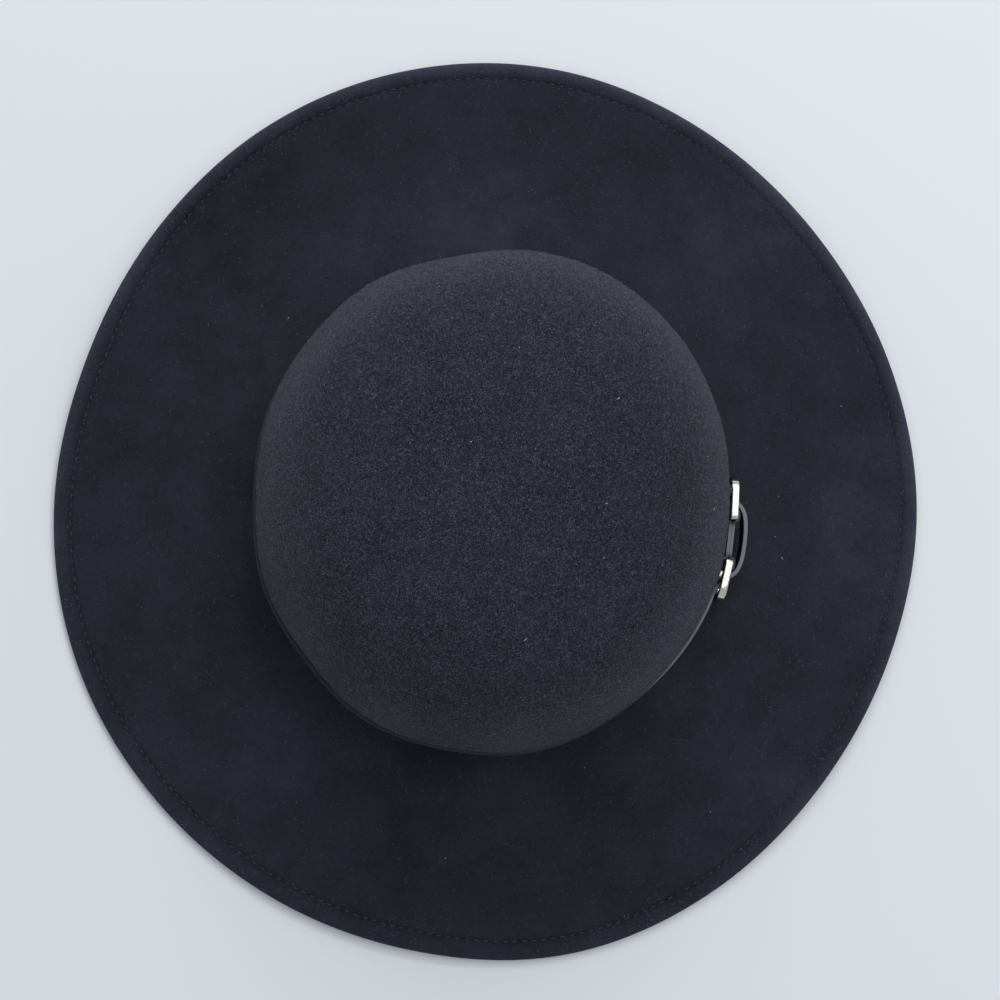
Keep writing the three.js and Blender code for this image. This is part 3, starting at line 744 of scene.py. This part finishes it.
def band_path():
    """Middle line of the band in plan: through the rings, then round the crown."""
    under = BAND_SEAT + BAND_THICKNESS / 2
    over = RING_THICKNESS / 2 + 2 * SEAT + LINK_PLY + BAND_THICKNESS / 2
    tip = RING_LENGTH - RING_STOCK / 2
    open_height = RING_HEIGHT - 2 * RING_STOCK
    open_share = math.sqrt(1 - (BAND_WIDTH / open_height) ** 2)
    open_at = tip - RING_BOW + (RING_BOW - RING_STOCK) * open_share
    ends = []
    for ring in (rings["front"], rings["back"]):
        ends.append([beside_crown(ring["angle_at"](along), under)
                     for along in (tip + RING_STOCK, tip, open_at)])
        inside, beside = (open_at + RING_STOCK / 2) / 2, RING_STOCK / 2 + SEAT
        for along, out in ((inside, SEAT), (beside, over + SEAT)):
            ends[-1].append(ring["bar"] + ring["arms"] * along + ring["outward"] * out)
    middle = beside_crown(math.radians(RINGS_DIRECTION), BAND_BOW)
    path = smooth_line([*ends[0], middle, *ends[1][::-1]], BOW_STEPS)
    start = rings["back"]["angle_at"](RING_LENGTH + 2 * RING_STOCK)
    end = rings["front"]["angle_at"](RING_LENGTH + 2 * RING_STOCK) + 2 * math.pi
    steps = math.ceil(math.degrees(end - start) / BAND_STEP)
    return path + [beside_crown(angle, under) for angle in np.linspace(start, end, steps + 1)]


band_line = np.array(band_path())
# The band's edges carry the painted reflection most near the rings.
off_shine = np.abs(np.degrees(np.arctan2(band_line[:, 1], band_line[:, 0])) - SHINE_DIRECTION)
off_shine = np.minimum(off_shine, 360 - off_shine)
band_shine = 1 - (1 - SHINE_LEAST) * smooth_step(off_shine, SHINE_NEAR, SHINE_FAR)
band = strap_piece("leather_hat_band", band_line, BAND_THICKNESS, BAND_ROUNDING, band_shine)
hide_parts("leather_band")

# %% [markdown]
# ## The link between the rings
#
# A short strap, folded double, holds the rings' bars. The solid is one body with two holes; here
# the strap is really a loop: one layer that goes round both bars and lies against itself between.

# %% The doubled strap
CLOSE_START, CLOSE_END, CLOSE_STEPS = 0.45, 1.15, 6  # shares of the loop's half width
LINK_THICKNESS = 1.15         # one layer, a little swollen by the fold
PLY_GAP = 0.03                # between the strap's two layers
CORNER_TURNS, FLAT_STEPS = 6, 5
LOOP_END = 1.4                # the loops round the bars get little painted reflection up to here, in bar widths


def link_path():
    """Middle line of the doubled strap in plan, once round."""
    back, front = rings["back"]["bar"], rings["front"]["bar"]
    middle, half = (back + front) / 2, np.linalg.norm(back - front) / 2
    along = (back - front) / np.linalg.norm(back - front)
    across = np.array([-along[1], along[0]])
    round_bar = RING_STOCK / 2 + SEAT + LINK_PLY / 2
    bend = LINK_PLY
    shut = (LINK_THICKNESS + PLY_GAP) / 2
    quarter = []
    for turn in np.linspace(0, math.pi / 2, CORNER_TURNS):
        quarter.append((half + round_bar - bend + bend * math.cos(turn),
                        round_bar - bend + bend * math.sin(turn)))
    for share in np.linspace(0, 1, CLOSE_STEPS):
        inward = (CLOSE_START + (CLOSE_END - CLOSE_START) * share) * round_bar
        apart = (round_bar - shut) * (1 - smooth_step(share, 0, 1))
        quarter.append((half - inward, shut + apart))
    quarter += [(x, shut) for x in np.linspace(quarter[-1][0], 0, FLAT_STEPS)[1:]]
    half_turn = quarter + [(-x, y) for x, y in quarter[-2::-1]]
    loop = half_turn + [(-x, -y) for x, y in half_turn]
    return [middle + along * x + across * y for x, y in loop]


link_line = np.array(link_path())
bars = np.array([rings["back"]["bar"], rings["front"]["bar"]])
off_bar = np.linalg.norm(link_line[:, None] - bars, axis=2).min(axis=1)
off_loop = smooth_step(off_bar, RING_STOCK, LOOP_END * RING_STOCK)
# The link's edges carry the painted reflection all along, except round the bars.
link_shine = SHINE_LEAST + (1 - SHINE_LEAST) * off_loop
link = strap_piece("doubled_link_strap", link_line, LINK_THICKNESS, LINK_ROUNDING, link_shine)
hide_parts("link_strap")

# %% [markdown]
# ## Polished nickel
#
# The rings are cast zinc with a polished nickel plate: a warm white metal that mirrors its
# surroundings. A real polish is never perfect, so a fine noise varies the roughness a little and
# a slow one bends the reflections.

# %% Nickel material
NICKEL = "dcd8cd"
POLISH_MM, RIPPLE_MM = 0.35, 3.0

nickel_material, tree, shader = new_material("polished_nickel_plate")
place = add_node(tree, "ShaderNodeTexCoord", {}, {}).outputs["Object"]
polish = add_node(tree, "ShaderNodeTexNoise", {}, {
    "Vector": place, "Scale": per_feature(POLISH_MM), "Detail": 3.0}).outputs["Fac"]
ripple = add_node(tree, "ShaderNodeTexNoise", {}, {
    "Vector": place, "Scale": per_feature(RIPPLE_MM), "Detail": 1.0}).outputs["Fac"]
haze = add_node(tree, "ShaderNodeMapRange", {}, {
    "Value": polish, "To Min": 0.06, "To Max": 0.2}).outputs["Result"]
tree.links.new(haze, shader.inputs["Roughness"])
relief = add_node(tree, "ShaderNodeBump", {}, {
    "Height": ripple, "Strength": 0.2, "Distance": 0.1 * MM}).outputs["Normal"]
tree.links.new(relief, shader.inputs["Normal"])
shader.inputs["Base Color"].default_value = linear(NICKEL)
shader.inputs["Metallic"].default_value = 1.0
print("nickel ripple, mm:", RIPPLE_MM)

# %% [markdown]
# ## The D-rings
#
# Each ring is a flat D with a straight bar and a round bow. Its section is carried between the
# D's inner and outer outlines, point by point, so the metal keeps its width round the corners.
# The face away from the crown is rounded more, so that it mirrors the sky as a line of its own.

# %% Outlines of a D
BOW_SIDES, CORNER_SIDES, ARM_STEPS = 36, 8, 6
FACE_ROUNDING, BACK_ROUNDING = 0.5, 0.3


def quarter_arc(x, y, radius, start, steps):
    turns = start + math.pi / 2 * np.arange(steps + 1) / steps
    return [(x + radius * math.cos(turn), y + radius * math.sin(turn)) for turn in turns]


def d_outline(left, right, height, bow, corner):
    """Outline of a D: its bar along y at the left, its round bow at the right."""
    half = height / 2
    turns = np.linspace(-math.pi / 2, math.pi / 2, BOW_SIDES + 1)
    arc = [(right - bow + bow * math.cos(t), half * math.sin(t)) for t in turns]
    upper = quarter_arc(left + corner, half - corner, corner, math.pi / 2, CORNER_SIDES)
    lower = quarter_arc(left + corner, corner - half, corner, math.pi, CORNER_SIDES)
    points = arc
    for start, stretch in ((arc[-1], upper), (upper[-1], lower), (lower[-1], arc[:1])):
        between = np.linspace(start, stretch[0], ARM_STEPS + 1)[1:-1]
        points = points + between.tolist() + stretch
    return np.array(points[:-1])


print("points round a D:", len(d_outline(0, RING_LENGTH, RING_HEIGHT, RING_BOW, RING_CORNER)))


# %% Make the rings
def ring_section():
    """Round the metal: a share from the inner to the outer outline, and a distance outwards."""
    section = []
    half = RING_THICKNESS / 2
    for corner, rounding in enumerate((FACE_ROUNDING, FACE_ROUNDING, BACK_ROUNDING, BACK_ROUNDING)):
        share_side = 1 if corner in (0, 3) else -1
        out_side = 1 if corner in (0, 1) else -1
        for step in range(5):
            turn = math.pi / 2 * (corner + step / 4)
            across = share_side * (RING_STOCK / 2 - rounding) + rounding * math.cos(turn)
            outward = out_side * (half - rounding) + rounding * math.sin(turn)
            section.append((0.5 + across / RING_STOCK, outward))
    return section


def ring_piece(name, node, ring):
    """A D-ring standing beside the crown, its bar at the ring's place."""
    back, tip = -RING_STOCK / 2, RING_LENGTH - RING_STOCK / 2
    outer = d_outline(back, tip, RING_HEIGHT, RING_BOW, RING_CORNER)
    inner = d_outline(-back, tip - RING_STOCK, RING_HEIGHT - 2 * RING_STOCK,
                      RING_BOW - RING_STOCK, RING_CORNER / 2)
    rows = []
    for share, out in ring_section():
        flat = inner + (outer - inner) * share
        plan = ring["bar"] + flat[:, :1] * ring["arms"] + out * ring["outward"]
        rows.append(np.column_stack([plan, BAND_MIDDLE + flat[:, 1]]))
    points = np.stack(rows, axis=1).reshape(-1, 3)
    piece = mesh_piece(name, points, skin_faces([len(rows)] * len(outer), True), nickel_material)
    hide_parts(node)
    return piece


ring_piece("nickel_ring_back", "d_ring_back", rings["back"])
ring_piece("nickel_ring_front", "d_ring_front", rings["front"])

# %% [markdown]
# ## Stitches
#
# One line of black thread holds the turned edge. Each stitch shows as a short raised dash between
# two needle holes, and the underside has its own line. They are all made in one loop and joined
# into one mesh, because hundreds of separate objects would only slow Blender down.

# %% Thread material
THREAD_DARK, THREAD_LIGHT = "23242c", "484954"
TWIST_MM = 0.3

thread_material, tree, shader = new_material("black_polyester_thread")
place = add_node(tree, "ShaderNodeTexCoord", {}, {}).outputs["Object"]
twist = add_node(tree, "ShaderNodeTexNoise", {}, {
    "Vector": place, "Scale": per_feature(TWIST_MM), "Detail": 2.0}).outputs["Fac"]
thread_colour = add_node(tree, "ShaderNodeMix", {"data_type": "RGBA"}, {
    MIX_FACTOR: twist, MIX_A: linear(THREAD_DARK), MIX_B: linear(THREAD_LIGHT)}).outputs[MIX_RESULT]
tree.links.new(thread_colour, shader.inputs["Base Color"])
shader.inputs["Roughness"].default_value = 0.8
shader.inputs["Specular IOR Level"].default_value = 0.25
relief = add_node(tree, "ShaderNodeBump", {}, {
    "Height": twist, "Strength": 0.5, "Distance": 0.1 * MM}).outputs["Normal"]
tree.links.new(relief, shader.inputs["Normal"])
print("thread twist, mm:", TWIST_MM)

# %% The line of stitches
THREAD_RADIUS = 0.26
THREAD_SIDES, THREAD_RINGS = 6, 7
STITCH_START, STITCH_END = 0.20, 0.80  # shares of the pitch; the needle holes lie between
STITCH_DRIFT, STITCH_SLANT = 0.05, 0.04
THREAD_ARCH, THREAD_END = 1.7, 0.55  # in its radius: how high it arches, how thin its ends are
UNDER_HEIGHT, UNDER_ARCH, UNDER_THREAD = 0.32, 0.22, 0.4


def tube(path, radii, sides):
    """Points and faces of a closed tube along a path, its ends drawn to points."""
    path = np.array(path)
    along = np.gradient(path, axis=0)
    along /= np.linalg.norm(along, axis=1)[:, None]
    side = np.cross(along, (0, 0, 1))
    side /= np.linalg.norm(side, axis=1)[:, None]
    up = np.cross(side, along)
    turn = all_round(sides)
    across = np.cos(turn)[None, :, None] * side[1:-1, None]
    ring = across + np.sin(turn)[None, :, None] * up[1:-1, None]
    wall = path[1:-1, None] + ring * np.array(radii)[1:-1, None, None]
    points = np.concatenate([path[:1], wall.reshape(-1, 3), path[-1:]])
    return points, skin_faces([1, *[sides] * (len(path) - 2), 1], False)


def join(parts):
    """Points and faces of many small parts as one."""
    points, faces, count = [], [], 0
    for part_points, part_faces in parts:
        points.append(part_points)
        faces += [tuple(index + count for index in face) for face in part_faces]
        count += len(part_points)
    return np.concatenate(points), faces


print("faces of a stitch:", len(skin_faces([1, *[THREAD_SIDES] * (THREAD_RINGS - 2), 1], False)))


# %% Sew the hem
def stitch(number, is_top):
    """One stitch between two needle holes, sunk into the groove at both ends."""
    share = np.linspace(STITCH_START, STITCH_END, THREAD_RINGS)
    angle = (number + share) * 2 * math.pi / STITCHES
    arch = np.sin(np.linspace(0, math.pi, THREAD_RINGS)) ** 0.5
    drift = chance.normal(0, STITCH_DRIFT) + chance.normal(0, STITCH_SLANT) * (share - 0.5)
    radius = edge_radius(angle) - (stitch_inset(angle) if is_top else STITCH_INSET) + drift
    floor_height = BRIM_TOP - 0.8 * groove_depth(hem_puff(angle))
    top_height = floor_height + THREAD_RADIUS * (THREAD_ARCH * arch - 1.0)
    under_height = UNDER_HEIGHT - UNDER_ARCH * arch
    height = (top_height if is_top else under_height) + edge_rise(angle, radius)
    path = np.column_stack([radius * np.cos(angle), radius * np.sin(angle), height])
    thickness = THREAD_RADIUS * (THREAD_END + (1 - THREAD_END) * arch)
    return tube(path, thickness * (1.0 if is_top else UNDER_THREAD), THREAD_SIDES)


top_line = [stitch(number, True) for number in range(STITCHES)]
under_line = [stitch(number, False) for number in range(STITCHES)]
stitches = mesh_piece("hem_stitches", *join(top_line + under_line), thread_material)

# %% [markdown]
# ## Nap
#
# Fine loose fibres stand a little off the felt and give it its soft outline. A particle system
# would be lost when the model is exported, so each fibre is a real, tiny closed body of six
# triangles: two points and a three-sided waist, laid at random on the felt and bent a little.

# %% Fibre material
NAP_DARK, NAP_LIGHT = "1c1d25", "999cab"

nap_material, tree, shader = new_material("loose_wool_fibres")
fibre_shade = add_node(tree, "ShaderNodeAttribute", {
    "attribute_name": "fibre_shade"}, {}).outputs["Fac"]
nap_colour = add_node(tree, "ShaderNodeMix", {"data_type": "RGBA"}, {
    MIX_FACTOR: fibre_shade, MIX_A: linear(NAP_DARK), MIX_B: linear(NAP_LIGHT)}).outputs[MIX_RESULT]
tree.links.new(nap_colour, shader.inputs["Base Color"])
shader.inputs["Roughness"].default_value = 0.8
shader.inputs["Sheen Weight"].default_value = 0.1
print("fibre colours:", NAP_DARK, NAP_LIGHT)

# %% Lay the fibres
FIBRE_THICKNESS = 0.06        # about twice the real one, so that it shows
FIBRE_FACES = np.array([(0, 1, 2), (0, 2, 3), (0, 3, 1), (4, 2, 1), (4, 3, 2), (4, 1, 3)])
DOME_END = DOME_ROWS + WALL_ROWS
CROWN_FIBRES, BRIM_FIBRES, HEM_FIBRES = 32000, 20000, 8000
FIBRE_SHORT, FIBRE_LONG, FIBRE_BEND = 0.3, 0.8, 0.5  # shares of the length given, and of its half
FIBRE_ROOT, LEAST_RISE = 0.05, 0.03
TIP_LOWEST, TIP_HIGHEST = -1.0, 1.6  # of the rise of a fibre's waist
HEM_NAP_ROWS = 18


def lay_fibres(name, rows, count, length, stand):
    """Many small fibres on a stretch of the felt's outside, given its rows of points."""
    grid = np.stack(rows)
    corners = [grid[:-1], grid[1:], np.roll(grid[1:], -1, axis=1), np.roll(grid[:-1], -1, axis=1)]
    normal = np.cross(corners[2] - corners[0], corners[3] - corners[1])
    area = np.linalg.norm(normal, axis=-1).ravel()
    pick = chance.choice(area.size, count, p=area / area.sum())
    u, v = chance.random((2, count, 1))
    a, b, c, d = (corner.reshape(-1, 3)[pick] for corner in corners)
    root = (a * (1 - u) + b * u) * (1 - v) + (d * (1 - u) + c * u) * v
    normal = normal.reshape(-1, 3)[pick]
    normal /= np.linalg.norm(normal, axis=1)[:, None]
    across = np.cross(normal, chance.normal(size=(count, 3)))
    across /= np.linalg.norm(across, axis=1)[:, None]
    along = np.cross(across, normal)
    half = length * chance.uniform(FIBRE_SHORT, FIBRE_LONG, (count, 1))
    bend = half * chance.uniform(-FIBRE_BEND, FIBRE_BEND, (count, 1))
    rise = stand * chance.random((count, 1)) ** 2 + LEAST_RISE
    start = root - along * half - normal * FIBRE_ROOT
    tip_rise = rise * chance.uniform(TIP_LOWEST, TIP_HIGHEST, (count, 1))
    tip = root + along * half + normal * tip_rise
    waist = root + across * bend + normal * rise
    thick = FIBRE_THICKNESS / 2
    ring = [waist + across * thick, waist + normal * thick - across * thick / 2,
            waist - normal * thick]
    points = np.stack([start, *ring, tip], axis=1).reshape(-1, 3)
    faces = (FIBRE_FACES[None] + 5 * np.arange(count)[:, None, None]).reshape(-1, 3)
    piece = mesh_piece(name, points, faces.tolist(), nap_material)
    paint(piece, "fibre_shade", np.repeat(chance.random(count) ** 4, 5))
    return piece


crown_grid = [np.broadcast_to(row, (FELT_COLUMNS, 3)) for row in felt_rows[:DOME_END]]
brim_grid = felt_rows[DOME_END:len(outside)]
hem_grid = felt_rows[len(outside):len(outside) + HEM_NAP_ROWS]
lay_fibres("crown_nap", crown_grid, CROWN_FIBRES, length=1.4, stand=0.25)
lay_fibres("brim_nap", brim_grid, BRIM_FIBRES, length=1.3, stand=0.10)
lay_fibres("hem_nap", hem_grid, HEM_FIBRES, length=1.4, stand=0.35)

# %% [markdown]
# ## Lint
#
# Black felt gathers pale specks of lint. The few that the photo shows are charted one by one: each is
# a tiny curled thread, laid on the felt at a direction and a radius from the middle of the hat.

# %% Lint material
LINT_COLOUR = "a9acb6"
LINT_RADIUS = 0.13
LINT_POINTS, LINT_CURL = 6, 0.35
# Direction and radius of each, its length, and the way it points.
LINT = [
    (124, 19, 0.9, 35), (83, 49, 0.5, 80), (38, 51, 1.5, 45), (352, 36, 0.8, 10),
    (279, 52, 1.6, 40), (326, 42, 0.6, 100), (356, 77, 1.1, 75), (10, 75, 0.5, 20),
    (2, 115, 0.5, 60), (354, 114, 0.6, 0), (350, 118, 1.2, 120), (137, 108, 0.9, 50),
    (16, 147, 0.7, 30), (263, 139, 0.8, 65), (306, 149, 0.6, 140), (290, 109, 0.5, 15),
]

lint_material, tree, shader = new_material("pale_lint")
place = add_node(tree, "ShaderNodeTexCoord", {}, {}).outputs["Object"]
dust = add_node(tree, "ShaderNodeTexNoise", {}, {
    "Vector": place, "Scale": per_feature(FIBRE_MM), "Detail": 2.0}).outputs["Fac"]
lint_colour = add_node(tree, "ShaderNodeMix", {"data_type": "RGBA"}, {
    MIX_FACTOR: dust, MIX_A: linear(NAP_LIGHT), MIX_B: linear(LINT_COLOUR)}).outputs[MIX_RESULT]
tree.links.new(lint_colour, shader.inputs["Base Color"])
shader.inputs["Roughness"].default_value = 0.9
print("lint specks:", len(LINT))


# %% Lay the lint
def felt_height(x, y):
    """Height of the felt's outside under a point in plan."""
    angle, radius = math.atan2(y, x), math.hypot(x, y)
    column = round(math.degrees(angle) * FELT_COLUMNS / 360) % FELT_COLUMNS
    flat_height = np.interp(radius, outside[:, 0, column], outside[:, 1, column])
    return flat_height + edge_rise(angle, radius)


def fleck(direction, radius, length, turn):
    """One curled thread of lint that lies on the felt."""
    direction, turn = math.radians(direction), math.radians(turn)
    middle = radius * np.array([math.cos(direction), math.sin(direction)])
    path = []
    for share in np.linspace(-0.5, 0.5, LINT_POINTS):
        curl = LINT_CURL * length * (share ** 2 - 0.1)
        plan = middle + length * share * np.array([math.cos(turn), math.sin(turn)])
        plan = plan + curl * np.array([-math.sin(turn), math.cos(turn)])
        path.append((*plan, felt_height(*plan) + LINT_RADIUS))
    return tube(path, np.full(LINT_POINTS, LINT_RADIUS), THREAD_SIDES)


lint = mesh_piece("lint_specks", *join([fleck(*row) for row in LINT]), lint_material)

# %% [markdown]
# ## Floor and light
#
# The hat lies on a plain pale floor under an even sky. A window behind the hat shades the crown.
# A long soft light overhead, on the side of the rings, is what their flat tops mirror, so it
# decides which of their faces shine and which stay dark.

# %% Floor
PAPER = "e2e5e6"
FLOOR_REACH = 4.0

paper_material, tree, shader = new_material("pale_floor")
shader.inputs["Base Color"].default_value = linear(PAPER)
shader.inputs["Roughness"].default_value = 0.9
shader.inputs["Specular IOR Level"].default_value = 0.1
floor_mesh = bpy.data.meshes.new("floor")
floor_mesh.from_pydata([(x * FLOOR_REACH, y * FLOOR_REACH, -0.0002) for x, y in
                        ((-1, -1), (1, -1), (1, 1), (-1, 1))], [], [(0, 1, 2, 3)])
floor_mesh.materials.append(paper_material)
floor = bpy.data.objects.new("floor", floor_mesh)
bpy.context.scene.collection.objects.link(floor)
print("floor across, m:", 2 * FLOOR_REACH)

# %% Sky and soft lights
SKY, SKY_STRENGTH = "e2e7f1", 0.62
LIGHTS = [
    dict(name="window_light", place=(0.1, 2.4, 2.0), tilt=-50, size=(2.0, 1.4), power=31.0),
    dict(name="ceiling_light", place=(0.66, 0.95, 2.0), tilt=0, size=(1.0, 2.0), power=20.0),
]

world = bpy.data.worlds.new("studio_sky")
world.use_nodes = True
world.node_tree.nodes["Background"].inputs["Color"].default_value = linear(SKY)
world.node_tree.nodes["Background"].inputs["Strength"].default_value = SKY_STRENGTH
bpy.context.scene.world = world
bpy.context.scene.view_settings.view_transform = "Standard"

for row in LIGHTS:
    lamp = bpy.data.lights.new(row["name"], "AREA")
    lamp.shape = "RECTANGLE"
    lamp.size, lamp.size_y = row["size"]
    lamp.energy = row["power"]
    light = bpy.data.objects.new(row["name"], lamp)
    bpy.context.scene.collection.objects.link(light)
    light.location = row["place"]
    light.rotation_euler = (math.radians(row["tilt"]), 0, 0)
    print(row["name"], row["power"], "W")
